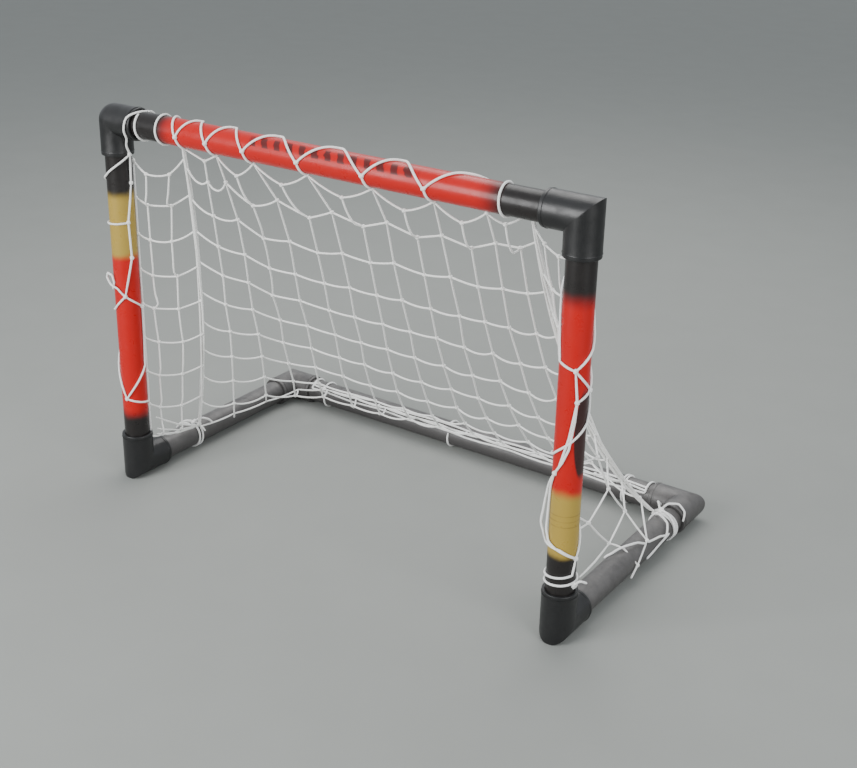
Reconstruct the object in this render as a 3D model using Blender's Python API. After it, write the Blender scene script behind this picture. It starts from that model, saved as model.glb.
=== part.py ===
"""Small football goal: a push-fit tube frame with mitred elbows and a sloping twine net."""
import math

import bmesh
import bpy
from mathutils import Vector

# Frame layout, metres. X runs along the crossbar, -Y faces the player, +Z is up.
GOAL_WIDTH = 1.20
GOAL_DEPTH = 0.60
CROSSBAR_Z = 0.895
GROUND_Z = 0.036
POST_X = GOAL_WIDTH / 2
FRONT_Y = -GOAL_DEPTH / 2
REAR_Y = GOAL_DEPTH / 2

# Tube and elbow sections
TUBE_R = 0.03015
TUBE_WALL = 0.0024
ELBOW_R = 0.0345
ELBOW_ARM = 0.078
COLLAR_R = 0.0371
COLLAR_LENGTH = 0.008
SOCKET_R = TUBE_R + 0.00035
SOCKET_STOP = 0.036
BORE_R = 0.026
END_GAP = 0.0005
ROUND_SIDES = 24

# Net and cords
STRAND = 0.0040
STRAND_THICK = 0.0030
CORD_R = 0.0020
CORD_GAP = 0.0005
CORD_SIDES = 5
CORD_STEP = math.radians(30)
BUNDLE_R = 0.0040
NET_OFFSET = 0.0400
BUNDLE_OFFSET = 0.0440
BUNDLE_CLEAR = 0.0120
MESH_WIDTH = 0.0785
BACK_COLUMNS = 14
BACK_ROWS = 9
LEFT_COLUMNS = 2
RIGHT_COLUMNS = 4
SIDE_ROWS = 8
BACK_SAG = 0.030
LEFT_BUNDLE_X = -0.433
RIGHT_BUNDLE_X = 0.470
LEFT_TIE_Y = -0.115
RIGHT_TIE_Y = 0.185
LEFT_BUNDLE_SAG = Vector((0.022, 0.010, -0.010))
RIGHT_BUNDLE_SAG = Vector((-0.020, -0.010, -0.085))
TOP_CROWDING = 1.25
LEFT_TUBE_SHARE = 0.245
REAR_BAR_SHARE = 0.980

X_AXIS = Vector((1, 0, 0))
Y_AXIS = Vector((0, 1, 0))
Z_AXIS = Vector((0, 0, 1))
INWARD_BACK = math.radians(35)


def clear_scene():
    for item in list(bpy.data.objects):
        bpy.data.objects.remove(item, do_unlink=True)


def make_material(name, color, roughness):
    material = bpy.data.materials.new(name)
    material.use_nodes = True
    shader = material.node_tree.nodes["Principled BSDF"]
    shader.inputs["Base Color"].default_value = (color[0], color[1], color[2], 1.0)
    shader.inputs["Roughness"].default_value = roughness
    return material


def add_object(name, mesh_builder, material, sharp_degrees=40):
    bmesh.ops.recalc_face_normals(mesh_builder, faces=mesh_builder.faces[:])
    mesh = bpy.data.meshes.new(name)
    mesh_builder.to_mesh(mesh)
    mesh_builder.free()
    mesh.shade_smooth()
    mesh.set_sharp_from_angle(angle=math.radians(sharp_degrees))
    mesh.materials.append(material)
    item = bpy.data.objects.new(name, mesh)
    bpy.context.scene.collection.objects.link(item)
    return item


def add_ring(bm, centre, side, other, radius, sides):
    ring = []
    for index in range(sides):
        angle = 2 * math.pi * index / sides
        offset = side * math.cos(angle) + other * math.sin(angle)
        ring.append(bm.verts.new(centre + offset * radius))
    return ring


def bridge(bm, first, second):
    count = len(first)
    for index in range(count):
        after = (index + 1) % count
        bm.faces.new((first[index], first[after], second[after], second[index]))


def add_tube(name, start, end, side, other, material):
    """Hollow round tube between two points, with square-cut open ends."""
    bm = bmesh.new()
    outer_start = add_ring(bm, start, side, other, TUBE_R, ROUND_SIDES)
    outer_end = add_ring(bm, end, side, other, TUBE_R, ROUND_SIDES)
    inner_start = add_ring(bm, start, side, other, TUBE_R - TUBE_WALL, ROUND_SIDES)
    inner_end = add_ring(bm, end, side, other, TUBE_R - TUBE_WALL, ROUND_SIDES)
    bridge(bm, outer_start, outer_end)
    bridge(bm, outer_end, inner_end)
    bridge(bm, inner_end, inner_start)
    bridge(bm, inner_start, outer_start)
    return add_object(name, bm, material)


def add_elbow(name, corner, arm, turn, material):
    """Mitred elbow: one lathed arm with its socket and collar, cut at 45 degrees and mirrored."""
    third = arm.cross(turn)
    collar_start = ELBOW_ARM - COLLAR_LENGTH
    profile = [
        (-0.060, ELBOW_R),
        (collar_start, ELBOW_R),
        (collar_start, COLLAR_R),
        (ELBOW_ARM, COLLAR_R),
        (ELBOW_ARM, SOCKET_R),
        (SOCKET_STOP, SOCKET_R),
        (SOCKET_STOP, BORE_R),
        (-0.060, BORE_R),
    ]
    bm = bmesh.new()
    rings = []
    for along, radius in profile:
        rings.append(add_ring(bm, corner + arm * along, turn, third, radius, ROUND_SIDES))
    for first, second in zip(rings, rings[1:]):
        bridge(bm, first, second)
    normal = (arm - turn).normalized()
    everything = bm.verts[:] + bm.edges[:] + bm.faces[:]
    bmesh.ops.bisect_plane(bm, geom=everything, plane_co=corner, plane_no=normal, clear_inner=True)
    for edge in bm.edges:
        if edge.is_boundary:
            for vert in edge.verts:
                vert.co -= normal * (vert.co - corner).dot(normal)
    copied = bmesh.ops.duplicate(bm, geom=bm.verts[:] + bm.edges[:] + bm.faces[:])
    for piece in copied["geom"]:
        if isinstance(piece, bmesh.types.BMVert):
            piece.co -= normal * (2 * (piece.co - corner).dot(normal))
    bmesh.ops.remove_doubles(bm, verts=bm.verts[:], dist=0.00002)
    everything = bm.verts[:] + bm.edges[:] + bm.faces[:]
    if corner.z < COLLAR_R:
        floor = Vector((0, 0, 0))
        bmesh.ops.bisect_plane(bm, geom=everything, plane_co=floor, plane_no=Z_AXIS, clear_inner=True)
        open_edges = [edge for edge in bm.edges if edge.is_boundary]
        bmesh.ops.holes_fill(bm, edges=open_edges, sides=0)
    return add_object(name, bm, material)


def add_cord(name, path, radius, material):
    """Closed round cord swept along a list of points, its section carried without twist."""
    bm = bmesh.new()
    count = len(path)
    side = None
    rings = []
    for index in range(count):
        before = path[max(index - 1, 0)]
        after = path[min(index + 1, count - 1)]
        tangent = (after - before).normalized()
        if side is None:
            guess = Z_AXIS if abs(tangent.z) < 0.9 else X_AXIS
            side = guess.cross(tangent).normalized()
        side = (side - tangent * side.dot(tangent)).normalized()
        rings.append(add_ring(bm, path[index], side, tangent.cross(side), radius, CORD_SIDES))
    for first, second in zip(rings, rings[1:]):
        bridge(bm, first, second)
    bm.faces.new(rings[0])
    bm.faces.new(rings[-1])
    return add_object(name, bm, material, sharp_degrees=80)


def wrap_path(centre, along, front, up, turns):
    """Points of a cord on a tube: turns lists (distance along, angle from front towards up)."""
    path = []
    radius = (TUBE_R + CORD_GAP + CORD_R) / math.cos(CORD_STEP / 2) + 0.0001
    for (start, angle_a), (end, angle_b) in zip(turns, turns[1:]):
        count = max(2, math.ceil(abs(math.radians(angle_b - angle_a)) / CORD_STEP))
        for index in range(count):
            part = index / count
            angle = math.radians(angle_a + (angle_b - angle_a) * part)
            place = start + (end - start) * part
            spoke = front * math.cos(angle) + up * math.sin(angle)
            path.append(centre + along * place + spoke * radius)
    end, angle_b = turns[-1]
    angle = math.radians(angle_b)
    path.append(centre + along * end + (front * math.cos(angle) + up * math.sin(angle)) * radius)
    return path


def add_net(name, surface, columns, rows, material):
    """Closed lattice of flat strands over a surface, with a square pad at every knot."""
    bm = bmesh.new()
    pads = {}
    near = 0.002
    for i in range(columns + 1):
        for j in range(rows + 1):
            u = i / columns
            v = j / rows
            knot = surface(u, v)
            across = surface(min(u + near, 1), v) - surface(max(u - near, 0), v)
            across.normalize()
            down = surface(u, min(v + near, 1)) - surface(u, max(v - near, 0))
            down.normalize()
            normal = across.cross(down).normalized()
            for level in (-1, 1):
                for a, d in ((-1, -1), (1, -1), (1, 1), (-1, 1)):
                    place = knot + (across * a + down * d) * (STRAND / 2)
                    place = place + normal * (level * STRAND_THICK / 2)
                    pads[i, j, a, d, level] = bm.verts.new(place)

    def wall(one, two):
        top = pads[one + (1,)], pads[two + (1,)]
        low = pads[one + (-1,)], pads[two + (-1,)]
        bm.faces.new((top[0], top[1], low[1], low[0]))

    def slab(corners):
        bm.faces.new([pads[corner + (1,)] for corner in corners])
        bm.faces.new([pads[corner + (-1,)] for corner in reversed(corners)])

    for i in range(columns + 1):
        for j in range(rows + 1):
            slab([(i, j, -1, -1), (i, j, 1, -1), (i, j, 1, 1), (i, j, -1, 1)])
            if i < columns:
                slab([(i, j, 1, -1), (i + 1, j, -1, -1), (i + 1, j, -1, 1), (i, j, 1, 1)])
                wall((i, j, 1, -1), (i + 1, j, -1, -1))
                wall((i, j, 1, 1), (i + 1, j, -1, 1))
            if j < rows:
                slab([(i, j, -1, 1), (i, j, 1, 1), (i, j + 1, 1, -1), (i, j + 1, -1, -1)])
                wall((i, j, -1, 1), (i, j + 1, -1, -1))
                wall((i, j, 1, 1), (i, j + 1, 1, -1))
            if i == 0:
                wall((i, j, -1, -1), (i, j, -1, 1))
            if i == columns:
                wall((i, j, 1, -1), (i, j, 1, 1))
            if j == 0:
                wall((i, j, -1, -1), (i, j, 1, -1))
            if j == rows:
                wall((i, j, -1, 1), (i, j, 1, 1))
    return add_object(name, bm, material)


def bundle_line(side, t):
    """Gathered edge of the net from the crossbar down to a side tube: side is -1 left, 1 right."""
    top_x = LEFT_BUNDLE_X if side < 0 else RIGHT_BUNDLE_X
    tie_y = LEFT_TIE_Y if side < 0 else RIGHT_TIE_Y
    sag = LEFT_BUNDLE_SAG if side < 0 else RIGHT_BUNDLE_SAG
    reach = BUNDLE_OFFSET
    top_y = FRONT_Y + reach * math.cos(INWARD_BACK)
    top = Vector((top_x, top_y, CROSSBAR_Z - reach * math.sin(INWARD_BACK)))
    inside = reach * math.sqrt(0.5)
    foot = Vector((side * (POST_X - inside), tie_y, GROUND_Z + inside))
    return top.lerp(foot, t) + sag * (4 * t * (1 - t))


def bottom_line(u):
    """Lower edge of the back net: along the left tube, the rear bar, then the right tube."""
    inside = NET_OFFSET * math.sqrt(0.5)
    height = GROUND_Z + inside + 0.010
    left = bundle_line(-1, 1)
    right = bundle_line(1, 1)
    corners = [
        Vector((-POST_X + inside + 0.006, left.y + BUNDLE_CLEAR, height)),
        Vector((-POST_X + 0.085, REAR_Y - inside - 0.006, height)),
        Vector((POST_X - 0.085, REAR_Y - inside - 0.006, height)),
        Vector((POST_X - inside - 0.006, right.y + BUNDLE_CLEAR, height)),
    ]
    marks = (0.0, LEFT_TUBE_SHARE, REAR_BAR_SHARE, 1.0)
    for index in range(3):
        if u <= marks[index + 1]:
            part = (u - marks[index]) / (marks[index + 1] - marks[index])
            return corners[index].lerp(corners[index + 1], part)
    return corners[3]


def back_surface(u, v):
    """Back net as a patch between the two gathered edges, crossbar and ground tubes."""
    clear_left = Vector((BUNDLE_CLEAR, 0.002, 0))
    clear_right = Vector((-BUNDLE_CLEAR, 0.002, 0))
    left = bundle_line(-1, v) + clear_left
    right = bundle_line(1, v) + clear_right
    top_left = bundle_line(-1, 0) + clear_left
    top_right = bundle_line(1, 0) + clear_right
    top = top_left.lerp(top_right, 1 - (1 - u) ** TOP_CROWDING)
    bottom = bottom_line(u)
    low_left = bundle_line(-1, 1) + clear_left
    low_right = bundle_line(1, 1) + clear_right
    ruled = left.lerp(right, u) + top.lerp(bottom, v)
    corner = top_left.lerp(top_right, u).lerp(low_left.lerp(low_right, u), v)
    sag = Vector((0, -0.83, -0.56)) * (BACK_SAG * 4 * v * (1 - v) * math.sin(math.pi * u))
    return ruled - corner + sag


def side_surface(side, u, v):
    """Side net as a ruled patch between a post and the gathered edge."""
    inside = NET_OFFSET * math.sqrt(0.5)
    height = 0.780 + (0.125 - 0.780) * v
    post = Vector((side * (POST_X - inside), FRONT_Y + inside, height))
    edge = bundle_line(side, 0.035 + 0.945 * v)
    toward = (post - edge).normalized()
    return post.lerp(edge + toward * BUNDLE_CLEAR, u)


def left_surface(u, v):
    return side_surface(-1, u, v)


def right_surface(u, v):
    return side_surface(1, u, v)


def build_frame():
    red = make_material("red_tube", (0.62, 0.035, 0.015), 0.30)
    black = make_material("black_fitting", (0.018, 0.018, 0.019), 0.55)
    dark = make_material("dark_tube", (0.060, 0.056, 0.054), 0.60)
    reach = SOCKET_STOP + END_GAP
    for name, side in (("left", -1), ("right", 1)):
        x = side * POST_X
        low = Vector((x, FRONT_Y, GROUND_Z + reach))
        high = Vector((x, FRONT_Y, CROSSBAR_Z - reach))
        add_tube(name + "_post_tube", low, high, X_AXIS, Y_AXIS, red)
        front = Vector((x, FRONT_Y + reach, GROUND_Z))
        back = Vector((x, REAR_Y - reach, GROUND_Z))
        add_tube(name + "_side_tube", front, back, X_AXIS, Z_AXIS, dark)
        top = Vector((x, FRONT_Y, CROSSBAR_Z))
        foot = Vector((x, FRONT_Y, GROUND_Z))
        rear = Vector((x, REAR_Y, GROUND_Z))
        add_elbow("top_" + name + "_elbow", top, X_AXIS * -side, -Z_AXIS, black)
        add_elbow(name + "_foot_elbow", foot, Y_AXIS, Z_AXIS, black)
        add_elbow("rear_" + name + "_elbow", rear, X_AXIS * -side, -Y_AXIS, black)
    left = Vector((-POST_X + reach, FRONT_Y, CROSSBAR_Z))
    right = Vector((POST_X - reach, FRONT_Y, CROSSBAR_Z))
    add_tube("crossbar_tube", left, right, Y_AXIS, Z_AXIS, red)
    left = Vector((-POST_X + reach, REAR_Y, GROUND_Z))
    right = Vector((POST_X - reach, REAR_Y, GROUND_Z))
    add_tube("rear_bar_tube", left, right, Y_AXIS, Z_AXIS, dark)


def build_net():
    twine = make_material("white_twine", (0.80, 0.80, 0.78), 0.90)
    add_net("net_back_panel", back_surface, BACK_COLUMNS, BACK_ROWS, twine)
    add_net("net_left_panel", left_surface, LEFT_COLUMNS, SIDE_ROWS, twine)
    add_net("net_right_panel", right_surface, RIGHT_COLUMNS, SIDE_ROWS, twine)
    for name, side in (("left", -1), ("right", 1)):
        path = [bundle_line(side, index / 12) for index in range(13)]
        add_cord(name + "_corner_bundle", path, BUNDLE_R, twine)


def build_lacing():
    cord = make_material("white_cord", (0.84, 0.84, 0.82), 0.90)
    turns = []
    for index in range(12):
        turns.append((LEFT_BUNDLE_X + 0.020 + index * MESH_WIDTH, 205 if index % 2 == 0 else 4))
    bar = Vector((0, FRONT_Y, CROSSBAR_Z))
    add_cord("crossbar_lacing", wrap_path(bar, X_AXIS, -Y_AXIS, Z_AXIS, turns), CORD_R, cord)
    turns = []
    for index in range(6):
        turns.append((0.790 - index * 0.085, -110 if index % 2 == 0 else 20))
    post = Vector((-POST_X, FRONT_Y, 0))
    add_cord("left_post_lacing", wrap_path(post, Z_AXIS, -Y_AXIS, -X_AXIS, turns), CORD_R, cord)
    turns = [(0.520, 150), (0.470, 10), (0.430, 150), (0.380, 20), (0.330, 40), (0.290, 150)]
    post = Vector((POST_X, FRONT_Y, 0))
    add_cord("right_post_lacing", wrap_path(post, Z_AXIS, -Y_AXIS, X_AXIS, turns), CORD_R, cord)
    turns = [(0.124, -100), (0.140, 800)]
    add_cord("right_foot_wrap", wrap_path(post, Z_AXIS, -Y_AXIS, X_AXIS, turns), CORD_R, cord)
    rear = Vector((0, REAR_Y, GROUND_Z))
    turns = [(-0.480, 100), (0.480, 100 + 360 * 6)]
    add_cord("rear_bar_lacing", wrap_path(rear, X_AXIS, -Y_AXIS, Z_AXIS, turns), CORD_R, cord)
    side_tube = Vector((-POST_X, 0, GROUND_Z))
    turns = [(LEFT_TIE_Y - 0.007, 60), (LEFT_TIE_Y + 0.007, 60 + 900)]
    path = wrap_path(side_tube, Y_AXIS, X_AXIS, Z_AXIS, turns)
    add_cord("left_side_tie", path, CORD_R, cord)
    side_tube = Vector((POST_X, 0, GROUND_Z))
    turns = [(RIGHT_TIE_Y - 0.009, 60), (RIGHT_TIE_Y + 0.009, 60 + 1260)]
    path = wrap_path(side_tube, Y_AXIS, -X_AXIS, Z_AXIS, turns)
    add_cord("right_side_tie", path, CORD_R, cord)


clear_scene()
build_frame()
build_net()
build_lacing()
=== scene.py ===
import math

import bmesh
import bpy
import numpy as np
from mathutils import Matrix, Vector


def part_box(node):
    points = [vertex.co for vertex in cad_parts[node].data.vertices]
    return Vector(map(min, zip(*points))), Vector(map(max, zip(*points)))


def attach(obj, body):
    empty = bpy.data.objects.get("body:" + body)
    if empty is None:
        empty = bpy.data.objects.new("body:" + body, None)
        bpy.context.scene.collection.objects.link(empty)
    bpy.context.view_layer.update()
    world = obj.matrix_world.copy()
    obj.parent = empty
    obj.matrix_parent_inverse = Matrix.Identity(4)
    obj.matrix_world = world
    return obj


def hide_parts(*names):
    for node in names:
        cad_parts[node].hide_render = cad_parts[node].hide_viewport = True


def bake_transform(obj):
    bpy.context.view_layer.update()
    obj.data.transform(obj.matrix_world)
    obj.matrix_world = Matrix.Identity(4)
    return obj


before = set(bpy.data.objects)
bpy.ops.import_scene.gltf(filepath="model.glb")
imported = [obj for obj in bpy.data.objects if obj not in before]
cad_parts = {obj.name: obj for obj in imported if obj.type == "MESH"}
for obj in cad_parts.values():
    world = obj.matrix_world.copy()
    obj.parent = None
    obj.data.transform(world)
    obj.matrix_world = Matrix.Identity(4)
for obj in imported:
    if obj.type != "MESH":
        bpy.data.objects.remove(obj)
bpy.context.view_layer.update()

# Frame lines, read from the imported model
post_low, post_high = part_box("right_post_tube")
bar_low, bar_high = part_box("crossbar_tube")
side_low, side_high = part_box("right_side_tube")
rear_low, rear_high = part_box("rear_bar_tube")
foot_low, foot_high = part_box("right_foot_elbow")
rear_elbow_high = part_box("rear_right_elbow")[1]
POST_X = (post_low.x + post_high.x) / 2
FRONT_Y = (post_low.y + post_high.y) / 2
CROSSBAR_Z = (bar_low.z + bar_high.z) / 2
REAR_Y = (rear_low.y + rear_high.y) / 2
GROUND_Z = (side_low.z + side_high.z) / 2
TUBE_R = (post_high.x - post_low.x) / 2
COLLAR_R = rear_elbow_high.z - GROUND_Z
ELBOW_R = -foot_low.y + FRONT_Y
ELBOW_ARM = foot_high.z - GROUND_Z
SOCKET_STOP = post_low.z - GROUND_Z

# Sections that the frame doesn't give
TUBE_WALL = 0.0024
COLLAR_LENGTH = 0.008
SOCKET_R = TUBE_R + 0.00035
BORE_R = 0.026
STOP_GAP = 0.0005
RIM_EASE = 0.0018
COLLAR_FILLET = 0.0016
ELBOW_EASE = 0.0010
TUBE_EASE = 0.0007
ROUND_SIDES = 72
TWINE_R = 0.0022
CORD_R = 0.0025
WRAP_R = TUBE_R + CORD_R + 0.0002
COLLAR_WRAP_R = COLLAR_R + CORD_R + 0.0004
KNOT_R = 0.0046
FLOOR_Z = -0.0005
DIAGONAL = math.sqrt(0.5)

X_AXIS = Vector((1, 0, 0))
Y_AXIS = Vector((0, 1, 0))
Z_AXIS = Vector((0, 0, 1))


# ---------------------------------------------------------------- materials

def new_material(name):
    material = bpy.data.materials.new(name)
    material.use_nodes = True
    return material, material.node_tree, material.node_tree.nodes["Principled BSDF"]


def add_node(tree, kind, **settings):
    made = tree.nodes.new("ShaderNode" + kind)
    for key, value in settings.items():
        setattr(made, key, value)
    return made


def noise(tree, place, scale, detail=3.0, roughness=0.5):
    made = add_node(tree, "TexNoise")
    made.inputs["Scale"].default_value = scale
    made.inputs["Detail"].default_value = detail
    made.inputs["Roughness"].default_value = roughness
    tree.links.new(place, made.inputs["Vector"])
    return made.outputs["Fac"]


def remap(tree, value, low, high, to_low=0.0, to_high=1.0):
    made = add_node(tree, "MapRange")
    made.inputs["From Min"].default_value = low
    made.inputs["From Max"].default_value = high
    made.inputs["To Min"].default_value = to_low
    made.inputs["To Max"].default_value = to_high
    tree.links.new(value, made.inputs["Value"])
    return made.outputs["Result"]


def combine(tree, operation, first, second=0.0):
    made = add_node(tree, "Math", operation=operation)
    for socket, value in zip(made.inputs, (first, second)):
        if isinstance(value, (int, float)):
            socket.default_value = value
        else:
            tree.links.new(value, socket)
    return made.outputs["Value"]


def mix_color(tree, factor, first, second):
    made = add_node(tree, "Mix", data_type="RGBA")
    tree.links.new(factor, made.inputs["Factor"])
    colors = [socket for socket in made.inputs if socket.type == "RGBA"]
    for socket, value in zip(colors, (first, second)):
        if isinstance(value, tuple):
            socket.default_value = value + (1.0,)
        else:
            tree.links.new(value, socket)
    return [socket for socket in made.outputs if socket.type == "RGBA"][0]


def bump(tree, shader, height, strength, distance=0.001):
    made = add_node(tree, "Bump")
    made.inputs["Strength"].default_value = strength
    made.inputs["Distance"].default_value = distance
    tree.links.new(height, made.inputs["Height"])
    tree.links.new(made.outputs["Normal"], shader.inputs["Normal"])


def color_bands(tree, value, stops):
    ramp = add_node(tree, "ValToRGB")
    ramp.color_ramp.interpolation = "EASE"
    elements = ramp.color_ramp.elements
    while len(elements) < len(stops):
        elements.new(0.5)
    for element, (position, color) in zip(elements, stops):
        element.position = position
        element.color = color + (1.0,)
    tree.links.new(value, ramp.inputs["Fac"])
    return ramp.outputs["Color"]


RED = (0.47, 0.001, 0.0)
GOLD = (0.37, 0.255, 0.045)
BLACK = (0.009, 0.008, 0.008)
DUST = (0.25, 0.22, 0.18)
MARK = (0.030, 0.008, 0.008)
SPRAY = (0.55, 0.45, 0.40)

# Where the dashes lie along the crossbar, and the flash and the faint dark arcs up the right post
DASHES_START = -0.190
DASHES_END = 0.255
DASH_RATE = 190.0
DASH_SLANT = 0.7
FLASH_LOW = 0.365
FLASH_HIGH = 0.570
FLASH_MIDDLE = 0.470
FLASH_EDGE = 0.0205
ARCS_LOW = 0.262
ARCS_HIGH = 0.300


def painted_tube(name, axis, low, high, stops, marks=None):
    """Sprayed tube: soft colour bands along one axis, fine grain, dust and any dark marks passed in."""
    material, tree, shader = new_material(name)
    place = add_node(tree, "TexCoord").outputs["Object"]
    parts = add_node(tree, "SeparateXYZ")
    tree.links.new(place, parts.inputs["Vector"])
    along = parts.outputs[axis]
    wander = remap(tree, noise(tree, place, 14.0), 0.3, 0.7, -0.006, 0.006)
    along = combine(tree, "ADD", along, wander)
    color = color_bands(tree, remap(tree, along, low, high), stops)
    if marks is not None:
        color = mix_color(tree, marks(tree, parts, place), color, MARK)
    spray = remap(tree, noise(tree, place, 900.0, 2.0), 0.35, 0.75, 0.0, 0.025)
    color = mix_color(tree, spray, color, SPRAY)
    dirt = remap(tree, noise(tree, place, 22.0, 6.0, 0.7), 0.60, 0.95, 0.0, 0.10)
    color = mix_color(tree, dirt, color, DUST)
    tree.links.new(color, shader.inputs["Base Color"])
    rough = remap(tree, noise(tree, place, 45.0, 5.0, 0.6), 0.3, 0.75, 0.24, 0.42)
    tree.links.new(rough, shader.inputs["Roughness"])
    shader.inputs["Specular IOR Level"].default_value = 0.35
    bump(tree, shader, noise(tree, place, 420.0, 3.0), 0.08)
    return material


def crossbar_marks(tree, parts, place):
    """Dark slanted dashes on the upper front of the bar: a plain pattern, not lettering."""
    y = combine(tree, "SUBTRACT", parts.outputs["Y"], FRONT_Y)
    z = combine(tree, "SUBTRACT", parts.outputs["Z"], CROSSBAR_Z)
    slant = combine(tree, "ADD", parts.outputs["X"], combine(tree, "MULTIPLY", z, DASH_SLANT))
    wave = combine(tree, "SINE", combine(tree, "MULTIPLY", slant, DASH_RATE))
    broken = combine(tree, "MULTIPLY", noise(tree, place, 70.0, 1.0), 2.2)
    dashes = remap(tree, combine(tree, "ADD", wave, broken), 0.95, 1.25, 0.0, 0.85)
    start = remap(tree, parts.outputs["X"], DASHES_START, DASHES_START + 0.025)
    end = remap(tree, parts.outputs["X"], DASHES_END - 0.020, DASHES_END, 1.0, 0.0)
    lower = remap(tree, z, 0.011, 0.013)
    upper = remap(tree, z, 0.027, 0.029, 1.0, 0.0)
    front = remap(tree, y, -0.010, -0.006, 1.0, 0.0)
    mask = combine(tree, "MULTIPLY", combine(tree, "MULTIPLY", start, end), dashes)
    mask = combine(tree, "MULTIPLY", mask, combine(tree, "MULTIPLY", lower, upper))
    return combine(tree, "MULTIPLY", mask, front)


def post_flash(tree, parts, place):
    """Dark curved flash down the outer side of the post, and faint dark arcs below it."""
    x = combine(tree, "SUBTRACT", parts.outputs["X"], POST_X)
    z = parts.outputs["Z"]
    middle = combine(tree, "SUBTRACT", z, FLASH_MIDDLE)
    curve = combine(tree, "MULTIPLY", combine(tree, "MULTIPLY", middle, middle), 0.95)
    edge = combine(tree, "SUBTRACT", x, combine(tree, "ADD", curve, FLASH_EDGE))
    flash = remap(tree, edge, -0.0012, 0.0008)
    flash = combine(tree, "MULTIPLY", flash, remap(tree, z, FLASH_LOW, FLASH_LOW + 0.020))
    fade = remap(tree, z, FLASH_HIGH - 0.025, FLASH_HIGH, 1.0, 0.0)
    flash = combine(tree, "MULTIPLY", flash, fade)
    ripple = combine(tree, "SINE", combine(tree, "MULTIPLY", z, 520.0))
    arcs = remap(tree, combine(tree, "ADD", ripple, noise(tree, place, 38.0)), 1.25, 1.50, 0.0, 0.35)
    arcs = combine(tree, "MULTIPLY", arcs, remap(tree, z, ARCS_LOW, ARCS_LOW + 0.008))
    fade = remap(tree, z, ARCS_HIGH - 0.008, ARCS_HIGH, 1.0, 0.0)
    arcs = combine(tree, "MULTIPLY", arcs, fade)
    return combine(tree, "MAXIMUM", flash, arcs)


def moulded_plastic(name, base, dusty, dust_amount, rough_low, rough_high):
    """Black or grey moulded plastic: fine mould grain, dust that lies on top, rubbed patches."""
    material, tree, shader = new_material(name)
    place = add_node(tree, "TexCoord").outputs["Object"]
    facing = add_node(tree, "NewGeometry").outputs["Normal"]
    parts = add_node(tree, "SeparateXYZ")
    tree.links.new(facing, parts.inputs["Vector"])
    upward = remap(tree, parts.outputs["Z"], -0.1, 1.0)
    patches = remap(tree, noise(tree, place, 24.0, 6.0, 0.65), 0.30, 0.75)
    dust = combine(tree, "MULTIPLY", combine(tree, "MULTIPLY", upward, patches), dust_amount)
    color = mix_color(tree, dust, base, dusty)
    grain = remap(tree, noise(tree, place, 700.0, 2.0), 0.35, 0.7, 0.0, 0.12)
    color = mix_color(tree, grain, color, dusty)
    tree.links.new(color, shader.inputs["Base Color"])
    rough = remap(tree, noise(tree, place, 60.0, 4.0), 0.3, 0.7, rough_low, rough_high)
    tree.links.new(rough, shader.inputs["Roughness"])
    bump(tree, shader, noise(tree, place, 520.0, 4.0), 0.16)
    return material


def twine_material(name, tint):
    """White knotted twine: twisted strands from the length-wise coordinate, with painted shade in the
    grooves between them, fluff and slight soiling.
    """
    material, tree, shader = new_material(name)
    lengthwise = add_node(tree, "UVMap", uv_map="twist").outputs["UV"]
    place = add_node(tree, "TexCoord").outputs["Object"]
    parts = add_node(tree, "SeparateXYZ")
    tree.links.new(lengthwise, parts.inputs["Vector"])
    phase = combine(tree, "ADD", combine(tree, "MULTIPLY", parts.outputs["X"], 210.0),
                    combine(tree, "MULTIPLY", parts.outputs["Y"], 3.0))
    wave = combine(tree, "SINE", combine(tree, "MULTIPLY", phase, 2 * math.pi))
    strands = remap(tree, wave, -1.0, 0.4)
    # Painted shade: the colour darkens in the grooves between the twisted strands.
    color = mix_color(tree, strands, tuple(part * 0.80 for part in tint), tint)
    soil = remap(tree, noise(tree, place, 9.0, 4.0), 0.50, 0.85, 0.0, 0.22)
    color = mix_color(tree, soil, color, (0.60, 0.59, 0.52))
    tree.links.new(color, shader.inputs["Base Color"])
    shader.inputs["Roughness"].default_value = 0.85
    shader.inputs["Sheen Weight"].default_value = 0.35
    shader.inputs["Sheen Roughness"].default_value = 0.5
    fluff = combine(tree, "ADD", strands, combine(tree, "MULTIPLY", noise(tree, place, 2600.0), 0.5))
    bump(tree, shader, fluff, 0.55, 0.0006)
    return material


# ---------------------------------------------------------------- mesh tools

def add_piece(name, bm, material, sharp_degrees=35):
    bmesh.ops.recalc_face_normals(bm, faces=bm.faces[:])
    mesh = bpy.data.meshes.new(name)
    bm.to_mesh(mesh)
    bm.free()
    mesh.shade_smooth()
    mesh.set_sharp_from_angle(angle=math.radians(sharp_degrees))
    mesh.materials.append(material)
    item = bpy.data.objects.new(name, mesh)
    bpy.context.scene.collection.objects.link(item)
    return item


def add_ring(bm, centre, side, other, radius, sides):
    ring = []
    for index in range(sides):
        angle = 2 * math.pi * index / sides
        ring.append(bm.verts.new(centre + (side * math.cos(angle) + other * math.sin(angle)) * radius))
    return ring


def bridge(bm, first, second):
    for index in range(len(first)):
        after = (index + 1) % len(first)
        bm.faces.new((first[index], first[after], second[after], second[index]))


def lathe(bm, origin, axis, side, profile, closed):
    """Turns a list of (distance along, radius) points about an axis."""
    other = axis.cross(side)
    rings = [add_ring(bm, origin + axis * along, side, other, radius, ROUND_SIDES)
             for along, radius in profile]
    for first, second in zip(rings, rings[1:]):
        bridge(bm, first, second)
    if closed:
        bridge(bm, rings[-1], rings[0])


def rounded(start, end, bulge, steps=4):
    """Quarter-round between two (along, radius) points, bulging towards the corner point."""
    points = []
    for index in range(steps + 1):
        t = index / steps
        a = (1 - t) ** 2
        b = 2 * t * (1 - t)
        c = t * t
        points.append((a * start[0] + b * bulge[0] + c * end[0], a * start[1] + b * bulge[1] + c * end[1]))
    return points


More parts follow.
